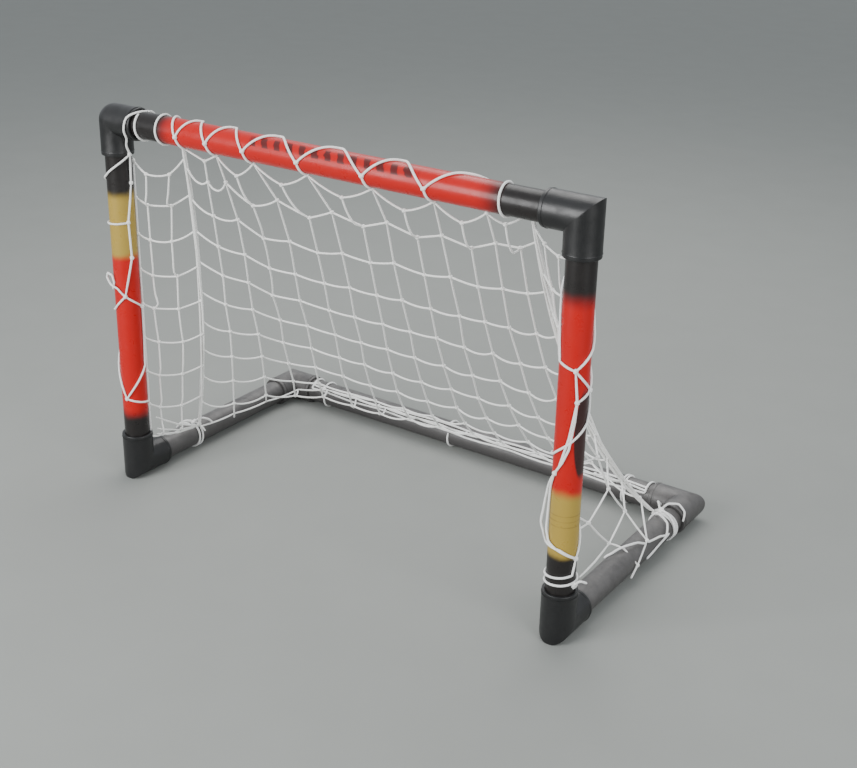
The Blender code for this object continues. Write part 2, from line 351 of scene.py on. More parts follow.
def fine_tube(name, node, axis, side, material, body):
    """Round tube with eased ends that takes a CAD tube's place."""
    low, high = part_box(node)
    centre = (low + high) / 2
    half = (high - low).dot(Vector([abs(part) for part in axis])) / 2
    inner = TUBE_R - TUBE_WALL
    ease = TUBE_EASE
    profile = [(-half + ease, inner), (-half, inner + ease)]
    profile += [(-half, TUBE_R - ease), (-half + ease, TUBE_R)]
    profile += [(half - ease, TUBE_R), (half, TUBE_R - ease)]
    profile += [(half, inner + ease), (half - ease, inner)]
    bm = bmesh.new()
    lathe(bm, centre, axis, side, profile, True)
    item = add_piece(name, bm, material)
    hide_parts(node)
    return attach(item, body)


def fine_elbow(name, node, corner, arm, turn, material, body, domed=False):
    """Mitred elbow with an eased raised collar, turned as one arm, cut at the mitre and mirrored.

    The close rings past the corner are there for a domed corner to bend on.
    """
    collar_start = ELBOW_ARM - COLLAR_LENGTH
    rim = COLLAR_R - ELBOW_R
    stop = SOCKET_STOP - STOP_GAP
    past_mitre = -0.060
    dome_start = -0.0345
    dome_step = 0.0043
    rings = [past_mitre, dome_start] + [dome_start + dome_step * step for step in range(1, 8)]
    profile = [(along, ELBOW_R) for along in rings + [0.0, 0.030]]
    profile += rounded((collar_start - COLLAR_FILLET, ELBOW_R), (collar_start, ELBOW_R + ELBOW_EASE),
                       (collar_start, ELBOW_R), 3)
    profile += rounded((collar_start, COLLAR_R - rim * 0.45), (collar_start + COLLAR_FILLET, COLLAR_R),
                       (collar_start, COLLAR_R), 4)
    profile += rounded((ELBOW_ARM - RIM_EASE, COLLAR_R), (ELBOW_ARM, COLLAR_R - RIM_EASE),
                       (ELBOW_ARM, COLLAR_R), 4)
    profile += rounded((ELBOW_ARM, SOCKET_R + ELBOW_EASE), (ELBOW_ARM - ELBOW_EASE, SOCKET_R),
                       (ELBOW_ARM, SOCKET_R), 3)
    profile += [(stop, SOCKET_R), (stop, BORE_R), (past_mitre, BORE_R)]
    bm = bmesh.new()
    lathe(bm, corner, arm, turn, profile, False)
    normal = (arm - turn).normalized()
    everything = bm.verts[:] + bm.edges[:] + bm.faces[:]
    bmesh.ops.bisect_plane(bm, geom=everything, plane_co=corner, plane_no=normal, clear_inner=True)
    for edge in bm.edges:
        if edge.is_boundary:
            for vert in edge.verts:
                vert.co -= normal * (vert.co - corner).dot(normal)
    copied = bmesh.ops.duplicate(bm, geom=bm.verts[:] + bm.edges[:] + bm.faces[:])
    for piece in copied["geom"]:
        if isinstance(piece, bmesh.types.BMVert):
            piece.co -= normal * (2 * (piece.co - corner).dot(normal))
    bmesh.ops.remove_doubles(bm, verts=bm.verts[:], dist=0.00002)
    if domed:
        for vert in bm.verts:
            across = -(vert.co - corner).dot(arm)
            above = -(vert.co - corner).dot(turn)
            if across > 0 and above > 0:
                shrink = 1 - max(across, above) / math.hypot(across, above)
                vert.co += (arm * across + turn * above) * shrink
    if corner.z < COLLAR_R:
        everything = bm.verts[:] + bm.edges[:] + bm.faces[:]
        bmesh.ops.bisect_plane(bm, geom=everything, plane_co=Vector((0, 0, 0)), plane_no=Z_AXIS,
                               clear_inner=True)
        open_edges = [edge for edge in bm.edges if edge.is_boundary]
        bmesh.ops.holes_fill(bm, edges=open_edges, sides=0)
    item = add_piece(name, bm, material, 30)
    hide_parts(node)
    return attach(item, body)


def smooth_path(points, steps):
    """Catmull-Rom curve through the points."""
    points = [Vector(point) for point in points]
    result = []
    for index in range(len(points) - 1):
        p0 = points[max(index - 1, 0)]
        p1 = points[index]
        p2 = points[index + 1]
        p3 = points[min(index + 2, len(points) - 1)]
        for step in range(steps):
            t = step / steps
            result.append(0.5 * ((2 * p1) + (p2 - p0) * t + (2 * p0 - 5 * p1 + 4 * p2 - p3) * t * t
                                 + (3 * p1 - p0 - 3 * p2 + p3) * t * t * t))
    result.append(points[-1])
    return result


def sweep(bm, path, radius, sides=8):
    """Adds a closed round cord along a path to bm, with length and turn kept in the twist map."""
    layer = bm.loops.layers.uv.get("twist") or bm.loops.layers.uv.new("twist")
    side = None
    rings = []
    lengths = [0.0]
    for first, second in zip(path, path[1:]):
        lengths.append(lengths[-1] + (second - first).length)
    for index, point in enumerate(path):
        tangent = (path[min(index + 1, len(path) - 1)] - path[max(index - 1, 0)]).normalized()
        if side is None:
            guess = Z_AXIS if abs(tangent.z) < 0.9 else X_AXIS
            side = guess.cross(tangent).normalized()
        side = (side - tangent * side.dot(tangent)).normalized()
        size = radius * (0.7 if index in (0, len(path) - 1) else 1.0)
        rings.append(add_ring(bm, point, side, tangent.cross(side), size, sides))
    for step, (first, second) in enumerate(zip(rings, rings[1:])):
        for index in range(sides):
            after = (index + 1) % sides
            face = bm.faces.new((first[index], first[after], second[after], second[index]))
            turns = (index / sides, (index + 1) / sides, (index + 1) / sides, index / sides)
            ends = (lengths[step], lengths[step], lengths[step + 1], lengths[step + 1])
            for loop, turn, end in zip(face.loops, turns, ends):
                loop[layer].uv = (end, turn)
    bm.faces.new(rings[0][::-1])
    bm.faces.new(rings[-1])


def lump(bm, centre, direction, radius, seed):
    """A pulled-tight knot: a rounded lump with three lobes that twist along it."""
    layer = bm.loops.layers.uv.get("twist") or bm.loops.layers.uv.new("twist")
    direction = direction.normalized()
    guess = Z_AXIS if abs(direction.z) < 0.9 else X_AXIS
    side = guess.cross(direction).normalized()
    other = direction.cross(side)
    half_length = radius * 1.1
    sides = 8
    rows = 6
    rings = []
    for row in range(1, rows):
        polar = math.pi * row / rows
        ring = []
        for index in range(sides):
            turn = 2 * math.pi * index / sides
            lobes = 1 + 0.16 * math.sin(3 * turn + 2.1 * row + seed)
            spread = radius * math.sin(polar) * lobes
            offset = (side * math.cos(turn) + other * math.sin(turn)) * spread
            ring.append(bm.verts.new(centre + direction * (half_length * math.cos(polar)) + offset))
        rings.append(ring)
    ends = (bm.verts.new(centre + direction * half_length), bm.verts.new(centre - direction * half_length))
    faces = []
    for first, second in zip(rings, rings[1:]):
        for index in range(sides):
            after = (index + 1) % sides
            faces.append(bm.faces.new((first[index], second[index], second[after], first[after])))
    for ring, tip in ((rings[0], ends[0]), (rings[-1], ends[1])):
        for index in range(sides):
            after = (index + 1) % sides
            faces.append(bm.faces.new((ring[index], ring[after], tip)))
    for face in faces:
        for loop in face.loops:
            offset = loop.vert.co - centre
            turn = math.atan2(offset.dot(other), offset.dot(side)) / (2 * math.pi)
            loop[layer].uv = (offset.dot(direction), turn)


# ---------------------------------------------------------------- net

LEFT_BUNDLE_X = -0.433
RIGHT_BUNDLE_X = 0.470
LEFT_TIE_Y = -0.115
RIGHT_TIE_Y = 0.185
BUNDLE_OFFSET = 0.044
INWARD_BACK = math.radians(35)
LEFT_BUNDLE_SAG = Vector((0.022, 0.010, -0.010))
RIGHT_BUNDLE_SAG = Vector((-0.020, -0.010, -0.085))
LEFT_BUNDLE_LEAN = Vector((0.045, -0.040, -0.006))
LEAN_SHARE = 0.45
BACK_COLUMNS = 14
BACK_ROWS = 10
FIRST_ROW = 0.058
BACK_SAG = Vector((0, -0.83, -0.56)) * 0.030
TOP_CROWDING = 1.25
EDGE_GAP = 0.006
CORNER_REACH = 0.085
LEFT_TUBE_SHARE = 0.245
REAR_BAR_SHARE = 0.980
# Places along the crossbar: the back net's inner columns are held at the even ones and hang between
# at the odd ones. The lacing goes round the bar at the first six even ones.
LACING_X = (-0.384, -0.340, -0.296, -0.245, -0.191, -0.120, -0.045, 0.040, 0.121,
            0.195, 0.269, 0.330, 0.390, 0.430, 0.470)
TOP_DROP = (0.033, 0.030, 0.015, 0.006)
TIE_SHIFT = 0.008
TIE_DEGREES = -78
SIDE_NET_TOP = 0.800
SIDE_NET_LOW = 0.100

# How a hanging net settles: the share of its speed that it keeps, its fall in each round, the passes
# over its links, how short a link may get, and how strongly each pass corrects
SPEED_KEPT = 0.92
FALL = 0.00002
PASSES = 24
SHORTEST = 0.85
CORRECTION = 1.7


def bundle_line(side, t):
    """Place on the gathered strands of one side, from the crossbar (0) down to the side tube (1)."""
    top_x = LEFT_BUNDLE_X if side < 0 else RIGHT_BUNDLE_X
    tie_y = LEFT_TIE_Y if side < 0 else RIGHT_TIE_Y
    sag = LEFT_BUNDLE_SAG if side < 0 else RIGHT_BUNDLE_SAG
    top_y = FRONT_Y + BUNDLE_OFFSET * math.cos(INWARD_BACK)
    top = Vector((top_x, top_y, CROSSBAR_Z - BUNDLE_OFFSET * math.sin(INWARD_BACK)))
    inside = BUNDLE_OFFSET * DIAGONAL
    foot = Vector((side * (POST_X - inside), tie_y, GROUND_Z + inside))
    lean = LEFT_BUNDLE_LEAN * (max(0.0, 1 - t / LEAN_SHARE) ** 2 if side < 0 else 0.0)
    return top.lerp(foot, t) + sag * (4 * t * (1 - t)) + lean


def bottom_line(u):
    """Place on the back net's bottom edge: left side tube, rear bar, right side tube."""
    inside = (TUBE_R + EDGE_GAP) * DIAGONAL
    height = GROUND_Z + inside
    past_tie = 0.008
    corners = (
        Vector((-POST_X + inside, bundle_line(-1, 1).y + past_tie, height)),
        Vector((-POST_X + CORNER_REACH, REAR_Y - inside, height)),
        Vector((POST_X - CORNER_REACH, REAR_Y - inside, height)),
        Vector((POST_X - inside, bundle_line(1, 1).y + past_tie, height)),
    )
    marks = (0.0, LEFT_TUBE_SHARE, REAR_BAR_SHARE, 1.0)
    for index in range(3):
        if u <= marks[index + 1]:
            part = (u - marks[index]) / (marks[index + 1] - marks[index])
            return corners[index].lerp(corners[index + 1], part)
    return corners[3]


def back_surface(u, v):
    """Back net before it hangs: a patch between its four edges, u to the right and v downwards."""
    left = bundle_line(-1, v)
    right = bundle_line(1, v)
    top_left = bundle_line(-1, 0)
    top_right = bundle_line(1, 0)
    top = top_left.lerp(top_right, 1 - (1 - u) ** TOP_CROWDING)
    ruled = left.lerp(right, u) + top.lerp(bottom_line(u), v)
    corner = top_left.lerp(top_right, u).lerp(bundle_line(-1, 1).lerp(bundle_line(1, 1), u), v)
    sag = BACK_SAG * (4 * v * (1 - v) * math.sin(math.pi * u))
    return ruled - corner + sag


def clear_of_tubes(points, radius):
    """Pushes net points out of the frame's tubes, each given by the two axes across it, its centre
    on them, the axis along it and its two ends."""
    bars = (
        (1, 2, FRONT_Y, CROSSBAR_Z, 0, -POST_X, POST_X),
        (1, 2, REAR_Y, GROUND_Z, 0, -POST_X, POST_X),
        (0, 2, -POST_X, GROUND_Z, 1, FRONT_Y, REAR_Y),
        (0, 2, POST_X, GROUND_Z, 1, FRONT_Y, REAR_Y),
        (0, 1, -POST_X, FRONT_Y, 2, GROUND_Z, CROSSBAR_Z),
        (0, 1, POST_X, FRONT_Y, 2, GROUND_Z, CROSSBAR_Z),
    )
    for a, b, centre_a, centre_b, along, low, high in bars:
        off_a = points[:, a] - centre_a
        off_b = points[:, b] - centre_b
        distance = np.maximum(np.sqrt(off_a ** 2 + off_b ** 2), 1e-6)
        inside = (distance < radius) & (points[:, along] > low) & (points[:, along] < high)
        push = np.where(inside, radius / distance, 1.0)
        points[:, a] = centre_a + off_a * push
        points[:, b] = centre_b + off_b * push


def relax(points, fixed, links, lengths, rounds):
    """Lets a net hang whose links keep their length: a slight pull down, damping, length limits."""
    points = points.copy()
    held = points.copy()
    before = points.copy()
    share = np.zeros(len(points))
    np.add.at(share, links[:, 0], 1)
    np.add.at(share, links[:, 1], 1)
    for _ in range(rounds):
        speed = (points - before) * SPEED_KEPT
        before = points.copy()
        points = points + speed
        points[:, 2] -= FALL
        for _ in range(PASSES):
            gap = points[links[:, 1]] - points[links[:, 0]]
            size = np.maximum(np.linalg.norm(gap, axis=1), 1e-9)
            excess = np.maximum(size - lengths, 0.0) + np.minimum(size - lengths * SHORTEST, 0.0)
            shift = gap * (excess / size * 0.5)[:, None]
            total = np.zeros_like(points)
            np.add.at(total, links[:, 0], shift)
            np.add.at(total, links[:, 1], -shift)
            points = points + total / np.maximum(share, 1)[:, None] * CORRECTION
            points[fixed] = held[fixed]
        clear_of_tubes(points, WRAP_R)
        points[:, 2] = np.maximum(points[:, 2], TWINE_R * 1.5)
        points[fixed] = held[fixed]
    return points


def hang_net(knots, fixed_knots, bars, slack, parts=4, rounds=260):
    """Knots joined by bars of twine: returns the knot places and each bar's path after hanging."""
    points = [np.array(knot, float) for knot in knots]
    fixed = list(fixed_knots)
    chains = []
    links = []
    lengths = []
    for (a, b), extra in zip(bars, slack):
        chain = [a]
        whole = np.linalg.norm(points[b] - points[a]) * (1 + extra)
        for step in range(1, parts):
            t = step / parts
            place = points[a] * (1 - t) + points[b] * t
            place[2] -= whole * 0.4 * math.sqrt(max(extra, 0)) * 4 * t * (1 - t) * 0.5
            chain.append(len(points))
            points.append(place)
            fixed.append(False)
        chain.append(b)
        chains.append(chain)
        for first, second in zip(chain, chain[1:]):
            links.append((first, second))
            lengths.append(whole / parts)
    settled = relax(np.array(points), np.array(fixed), np.array(links), np.array(lengths), rounds)
    return settled[:len(knots)], [settled[chain] for chain in chains]


def draw_net(name, chains, knots, material, nodes):
    bm = bmesh.new()
    bm.loops.layers.uv.new("twist")
    for chain in chains:
        sweep(bm, smooth_path(chain, 2), TWINE_R, 7)
    for index, (place, direction) in enumerate(knots):
        lump(bm, Vector(place), Vector(direction), KNOT_R, index * 1.7)
    item = add_piece(name, bm, material, 80)
    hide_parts(*nodes)
    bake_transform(item)
    return item


def bar_point(x, degrees, radius=None):
    """Place round the crossbar, in degrees up from its front."""
    angle = math.radians(degrees)
    reach = radius or WRAP_R
    return Vector((x, FRONT_Y - reach * math.cos(angle), CROSSBAR_Z + reach * math.sin(angle)))


def build_back_net(material):
    random = np.random.default_rng(7)
    knots = []
    fixed = []
    number = {}
    for i in range(BACK_COLUMNS + 1):
        for j in range(BACK_ROWS + 1):
            v = 0.0 if j == 0 else FIRST_ROW + (1 - FIRST_ROW) * (j - 1) / (BACK_ROWS - 1)
            place = back_surface(i / BACK_COLUMNS, v)
            inner = 0 < i < BACK_COLUMNS
            tied = j == 0 and i % 2 == 0
            if j == 0 and inner:
                place = bar_point(LACING_X[i] + TIE_SHIFT, TIE_DEGREES)
            if j < len(TOP_DROP) and inner and i % 2 == 1:
                share = 0.35 if i in (1, BACK_COLUMNS - 1) else 1.0
                place = place + Vector((0.012, 0.010, -1.0)) * TOP_DROP[j] * share
            elif inner and 0 < j < BACK_ROWS:
                place = place + Vector(random.normal(0, 0.0022, 3))
            number[i, j] = len(knots)
            knots.append(place)
            fixed.append(not inner or j == BACK_ROWS or tied)
    bars = []
    slack = []
    for i in range(BACK_COLUMNS + 1):
        for j in range(BACK_ROWS + 1):
            loose = 1 - i / BACK_COLUMNS
            if i < BACK_COLUMNS:
                bars.append((number[i, j], number[i + 1, j]))
                slack.append(0.001 + 0.07 * loose ** 2 * (1 - j / BACK_ROWS) * random.random())
            if j < BACK_ROWS and 0 < i < BACK_COLUMNS:
                bars.append((number[i, j], number[i, j + 1]))
                slack.append(-0.006 + 0.003 * random.random())
    places, chains = hang_net(knots, fixed, bars, slack)
    lumps = []
    for i in range(BACK_COLUMNS + 1):
        for j in range(BACK_ROWS):
            if j > 0 or 0 < i < BACK_COLUMNS:
                after = places[number[min(i + 1, BACK_COLUMNS), j]] - places[number[max(i - 1, 0), j]]
                lumps.append((places[number[i, j]], after))
    return draw_net("back_net", chains, lumps, material, ["net_back_panel"])


def build_side_net(side, shares, rows, first, last):
    """Square meshes between the post's lacing and the gathered edge, between two heights."""
    random = np.random.default_rng(11 + side)
    inside = WRAP_R * DIAGONAL
    knots = []
    fixed = []
    number = {}
    columns = len(shares) - 1
    for i, share in enumerate(shares):
        for j in range(rows + 1):
            v = first + (last - first) * j / rows
            height = SIDE_NET_TOP + (SIDE_NET_LOW - SIDE_NET_TOP) * v
            post = Vector((side * (POST_X - inside), FRONT_Y + inside, height))
            edge = bundle_line(side, 0.03 + 0.96 * v)
            place = post.lerp(edge, share) + Vector(random.normal(0, 0.004, 3)) * (0 < i < columns)
            number[i, j] = len(knots)
            knots.append(place)
            fixed.append(i == 0 or i == columns or (j == rows and i > 0))
    bars = []
    slack = []
    for i in range(columns + 1):
        for j in range(rows + 1):
            if i < columns:
                bars.append((number[i, j], number[i + 1, j]))
                slack.append(0.02 + 0.10 * random.random() * (1 - j / rows))
            if j < rows and 0 < i < columns:
                bars.append((number[i, j], number[i, j + 1]))
                slack.append(0.004 + 0.006 * random.random())
    places, chains = hang_net(knots, fixed, bars, slack)
    lumps = []
    for i in range(columns + 1):
        for j in range(rows + 1):
            after = places[number[min(i + 1, columns), j]] - places[number[max(i - 1, 0), j]]
            lumps.append((places[number[i, j]], after))
    return chains, lumps


def build_left_net(material):
    chains, lumps = build_side_net(-1, (0.0, 0.22, 0.62, 1.0), 8, 0.0, 1.0)
    tie = Vector((-0.566, LEFT_TIE_Y - 0.008, 0.074))
    for x, y, z in ((-0.566, -0.264, 0.118), (-0.574, -0.262, 0.100), (-0.566, -0.266, 0.150)):
        start = Vector((x, y, z))
        chains.append([start, (start + tie) / 2 + Vector((0.002, 0, -0.008)), tie])
    return draw_net("left_net", chains, lumps, material, ["net_left_panel"])


def build_right_net(material):
    """Square meshes high up; lower down they pull into diamonds that end over the side tube."""
    chains, lumps = build_side_net(1, (0.0, 0.34, 0.70, 1.0), 5, 0.0, 0.48)
    inside = WRAP_R * DIAGONAL
    post = [Vector((POST_X - inside, FRONT_Y + inside, z)) for z in (0.450, 0.372, 0.290, 0.205)]
    hanging = [Vector(lumps[index][0]) for index in (11, 17)]
    edge = [bundle_line(1, t) for t in (0.50, 0.58, 0.68, 0.79, 0.93)]
    high = Vector((0.566, -0.165, 0.385))
    upper = Vector((0.566, -0.105, 0.320))
    gold = Vector((0.566, -0.125, 0.173))
    middle = Vector((0.566, -0.043, 0.219))
    low = Vector((0.567, -0.020, 0.074))
    outer = Vector((0.566, 0.049, 0.124))
    over = Vector((0.621, 0.058, 0.064))
    foot = Vector((0.630, -0.276, 0.139))
    side = Vector((0.634, -0.010, 0.038))
    pairs = (
        (hanging[0], high), (hanging[1], high), (post[0], high), (high, edge[0]), (high, upper),
        (post[1], upper), (upper, edge[1]),
        (upper, middle), (post[2], gold), (post[3], gold), (gold, middle), (middle, edge[2]),
        (gold, low), (middle, outer), (low, outer), (low, foot), (outer, edge[3]), (outer, over),
        (over, edge[4]), (over, side), (low, side),
    )
    for first, second in pairs:
        middle_point = (first + second) / 2 + Vector((0, 0, -0.02)) * (second - first).length
        if second in (side, over) and first is not over:
            middle_point.z = max(middle_point.z, GROUND_Z + TUBE_R + 0.004)
        chains.append([first, middle_point, second])
    for knot in (high, upper, gold, middle, low, outer, over, side):
        lumps.append((knot, Y_AXIS))
    return draw_net("right_net", chains, lumps, material, ["net_right_panel"])


def build_bundle(side, strands, material):
    """Gathered strands that run together, cross and part between crossbar and side tube."""
    word = "left" if side < 0 else "right"
    bm = bmesh.new()
    bm.loops.layers.uv.new("twist")
    random = np.random.default_rng(5 + side)
    gathered = 0.0026
    parting = 0.0020 if side < 0 else 0.0065
    for strand in range(strands):
        phase = 2 * math.pi * strand / strands
        lean = random.normal(0, 1.2)
        path = []
        for step in range(13):
            t = step / 12
            spread = gathered + parting * math.sin(math.pi * t) * abs(math.sin(2.3 * phase + 1))
            angle = phase + 5.0 * t + lean * t
            place = bundle_line(side, t)
            path.append(place + Vector((math.cos(angle), math.sin(angle), 0.2 * math.sin(angle))) * spread)
        sweep(bm, smooth_path(path, 3), CORD_R * 0.9, 7)
    item = add_piece(word + "_gather", bm, material, 80)
    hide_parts(word + "_corner_bundle")
    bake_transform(item)
    return item


# ---------------------------------------------------------------- lacing

def wrap_points(origin, along, front, up, stops, radius=None):
    """Cord on a round tube through (distance along, degrees[, radius]) stops."""
    path = []
    full = [stop if len(stop) == 3 else (stop[0], stop[1], radius or WRAP_R) for stop in stops]
    for (s0, a0, r0), (s1, a1, r1) in zip(full, full[1:]):
        count = max(2, math.ceil(abs(a1 - a0) / 14))
        for index in range(count):
            t = index / count
            angle = math.radians(a0 + (a1 - a0) * t)
            reach = r0 + (r1 - r0) * t
            place = origin + along * (s0 + (s1 - s0) * t)
            path.append(place + (front * math.cos(angle) + up * math.sin(angle)) * reach)
    s1, a1, r1 = full[-1]
    angle = math.radians(a1)
    path.append(origin + along * s1 + (front * math.cos(angle) + up * math.sin(angle)) * r1)
    return path


def lacing_piece(name, paths, knots, material, nodes, body):
    bm = bmesh.new()
    bm.loops.layers.uv.new("twist")
    for path in paths:
        sweep(bm, path, CORD_R, 8)
    for index, (place, direction) in enumerate(knots):
        lump(bm, Vector(place), Vector(direction), KNOT_R * 1.1, index * 2.3)
    item = add_piece(name, bm, material, 80)
    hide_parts(*nodes)
    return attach(item, body)


def build_crossbar_lacing(material):
    bar = Vector((0, FRONT_Y, CROSSBAR_Z))
    tied = LACING_X[:-3:2]
    stops = [(LACING_X[0] - 0.046, 200), (LACING_X[0] - 0.032, 104)]
    for here, after in zip(tied, tied[1:]):
        reach = after - here
        stops += [(here, -4), (here + reach * 0.34, 84)]
        stops += [(here + reach * 0.46, 112), (here + reach * 0.52, 108)]
    stops += [(tied[-1], -4), (tied[-1] + 0.060, 86), (tied[-1] + 0.120, 150), (0.430, 215)]
    paths = [smooth_path(wrap_points(bar, X_AXIS, -Y_AXIS, Z_AXIS, stops), 2)]
    for place in tied:
        drop = [(place, -4), (place + 0.006, -50), (place + TIE_SHIFT, TIE_DEGREES)]
        paths.append(wrap_points(bar, X_AXIS, -Y_AXIS, Z_AXIS, drop))
    for place, start, reach in ((-0.508, 60, 0.010), (-0.452, 200, 0.014), (0.430, 215, 0.012)):
        turns = [(place, start), (place + reach, start - 320)]
        paths.append(wrap_points(bar, X_AXIS, -Y_AXIS, Z_AXIS, turns))
    knots = [(bar_point(place, -4), X_AXIS) for place in tied]
    return lacing_piece("crossbar_cord", paths, knots, material, ["crossbar_lacing"], "arch")


def post_path(side, stops):
    """Cord round a post through (height, degrees from its front towards +X[, radius]) stops."""
    origin = Vector((side * POST_X, FRONT_Y, 0))
    return wrap_points(origin, Z_AXIS, -Y_AXIS, X_AXIS, stops)


def edge_cord(side, high, low):
    """Selvedge cord down the post's hidden inner back, which the side net's strands end on."""
    middle = 225 if side > 0 else 135
    stops = []
    for step in range(15):
        stops.append((high + (low - high) * step / 14, middle + 5 * math.sin(1.9 * step)))
    return smooth_path(post_path(side, stops), 2)


def build_left_lacing(material):
    high = COLLAR_WRAP_R
    paths = [
        smooth_path([bar_point(-0.506, 112), bar_point(-0.516, 66), bar_point(-0.528, 30, high),
                     bar_point(-0.534, -10, high), bar_point(-0.540, -48, high),
                     Vector((-0.557, -0.313, 0.844))]
                    + post_path(-1, [(0.821, 87, high), (0.753, 96)]), 3),
        post_path(-1, [(0.753, 96), (0.661, 70), (0.575, 75), (0.481, 37)]),
        post_path(-1, [(0.821, 87, high), (0.772, -15), (0.745, -95), (0.740, -190)]),
        post_path(-1, [(0.661, 70), (0.655, -42), (0.650, -130), (0.655, -200)]),
        post_path(-1, [(0.481, 37), (0.444, -25), (0.430, -110), (0.440, -200)]),
        post_path(-1, [(0.481, 37), (0.446, 120), (0.385, 118), (0.297, 109), (0.216, 12)]),
        post_path(-1, [(0.216, 12), (0.267, -28), (0.330, -75), (0.400, -120), (0.430, -190)]),
        post_path(-1, [(0.216, 12), (0.205, 80), (0.195, 150)]),
    ]
    paths.append(edge_cord(-1, 0.806, 0.112))
    origin = Vector((-POST_X, FRONT_Y, 0))
    loop = [(0.481, 37, 0.033), (0.500, 5, 0.034), (0.508, -25, 0.040), (0.522, -42, 0.045),
            (0.534, -34, 0.043), (0.530, -20, 0.036), (0.512, -16, 0.033), (0.494, -30, 0.034)]
    paths.append(smooth_path(wrap_points(origin, Z_AXIS, -Y_AXIS, X_AXIS, loop), 2))
    spots = ((0.821, 87, high), (0.753, 96, WRAP_R), (0.661, 70, WRAP_R), (0.575, 75, WRAP_R),
             (0.481, 37, WRAP_R), (0.216, 12, WRAP_R), (0.446, 120, WRAP_R))
    knots = []
    for height, degrees, reach in spots:
        knots.append((post_path(-1, [(height, degrees, reach), (height, degrees, reach)])[0], Z_AXIS))
    return lacing_piece("left_post_cord", paths, knots, material, ["left_post_lacing"], "arch")


def build_right_lacing(material):
    paths = [
        post_path(1, [(0.780, -100), (0.744, -64), (0.616, -32), (0.603, 32)]),
        post_path(1, [(0.603, 32), (0.640, 100), (0.680, 135), (0.760, 170)]),
        post_path(1, [(0.603, 32), (0.558, 100), (0.590, 140), (0.640, 190)]),
        post_path(1, [(0.603, 32), (0.539, 44), (0.463, 24), (0.400, -4), (0.383, -22)]),
        post_path(1, [(0.558, 100), (0.539, 44), (0.500, 40), (0.440, 26), (0.410, 6), (0.383, -22)]),
        post_path(1, [(0.558, 100), (0.520, 118), (0.491, 95), (0.452, 24), (0.421, -39), (0.410, -110)]),
    ]
    origin = Vector((POST_X, FRONT_Y, 0))
    outer = [(0.383, -22, 0.034), (0.350, -50, 0.036), (0.316, -58, 0.040), (0.265, -60, 0.046),
             (0.228, -50, 0.036), (0.220, 20, 0.0345), (0.196, 84, 0.0335)]
    inner = [(0.383, -22, 0.034), (0.345, -44, 0.033), (0.300, -48, 0.034), (0.255, -46, 0.036),
             (0.232, -30, 0.0345), (0.214, 30, 0.034), (0.196, 84, 0.0335)]
    for route in (outer, inner):
        paths.append(smooth_path(wrap_points(origin, Z_AXIS, -Y_AXIS, X_AXIS, route), 2))
    paths.append(post_path(1, [(0.196, 84), (0.224, 110), (0.260, 150), (0.275, 190)]))
    paths.append(edge_cord(1, 0.806, 0.150))
    spots = ((0.603, 32), (0.558, 100), (0.539, 44), (0.383, -22), (0.196, 84))
    knots = [(post_path(1, [spot, spot])[0], Z_AXIS) for spot in spots]
    return lacing_piece("right_post_cord", paths, knots, material, ["right_post_lacing"], "arch")


def build_foot_wrap(material):
    paths = [post_path(1, [(0.196, 84), (0.160, 70), (0.152, -35), (0.146, -170), (0.141, -290),
                           (0.136, -395), (0.131, -520), (0.128, -640)])]
    place = post_path(1, [(0.136, 78), (0.136, 78)])[0]
    tail = [place, place + Vector((0.012, 0.006, 0.010)), place + Vector((0.020, 0.020, 0.002))]
    paths.append(smooth_path(tail, 5))
    knots = [(place, Z_AXIS)]
    return lacing_piece("right_foot_cord", paths, knots, material, ["right_foot_wrap"], "arch")


def build_rear_lacing(material):
    """The net's bottom edge runs along the bar's upper front, held by a few turns of cord."""
    rear = Vector((0, REAR_Y, GROUND_Z))
    ends = POST_X - 0.092
    paths = []
    for lean, phase, speed in ((30, 0.4, 2.1), (47, 1.9, 3.0), (62, 3.1, 1.7)):
        stops = [(-ends - 0.004, lean + 170)]
        for k in range(23):
            stops.append((-ends + 2 * ends * k / 22, lean + 3.5 * math.sin(phase + speed * k * 0.7)))
        stops.append((ends + 0.004, lean + 170))
        paths.append(smooth_path(wrap_points(rear, X_AXIS, -Y_AXIS, Z_AXIS, stops), 2))
    for place, turns in ((-0.470, 1), (-0.060, 1), (0.445, 2)):
        stops = [(place, 66), (place + 0.007 * turns, 24 + 360 * turns)]
        paths.append(wrap_points(rear, X_AXIS, -Y_AXIS, Z_AXIS, stops))
    knots = []
    for k in range(11):
        place = bottom_line(LEFT_TUBE_SHARE + (REAR_BAR_SHARE - LEFT_TUBE_SHARE) * (k + 0.5) / 11)
        knots.append((place, X_AXIS))
    return lacing_piece("rear_bar_cord", paths, knots, material, ["rear_bar_lacing"], "base")


def right_tie_loops(tube):
    """Slack loops over the tube, a run down its outer side and a free end near the ground."""
    routes = (
        ((0.196, 66, 0.034), (0.214, 84, 0.043), (0.230, 110, 0.044), (0.228, 140, 0.042),
         (0.216, 166, 0.036)),
        ((0.176, 60, 0.034), (0.160, 92, 0.040), (0.148, 128, 0.042), (0.132, 160, 0.036),
         (0.120, 172, 0.033)),
        ((0.150, 168, 0.033), (0.100, 176, 0.033), (0.040, 190, 0.033)),
        ((0.058, 134, 0.034), (0.110, 150, 0.033), (0.138, 166, 0.035)),
        ((-0.056, 40, 0.033), (-0.044, 66, 0.034), (-0.014, 94, 0.041), (0.022, 112, 0.040),
         (0.048, 132, 0.034)),
        ((-0.010, 174, 0.034), (-0.026, 192, 0.035), (-0.040, 204, 0.038)),
    )
    return [smooth_path(wrap_points(tube, Y_AXIS, -X_AXIS, Z_AXIS, route), 3) for route in routes]


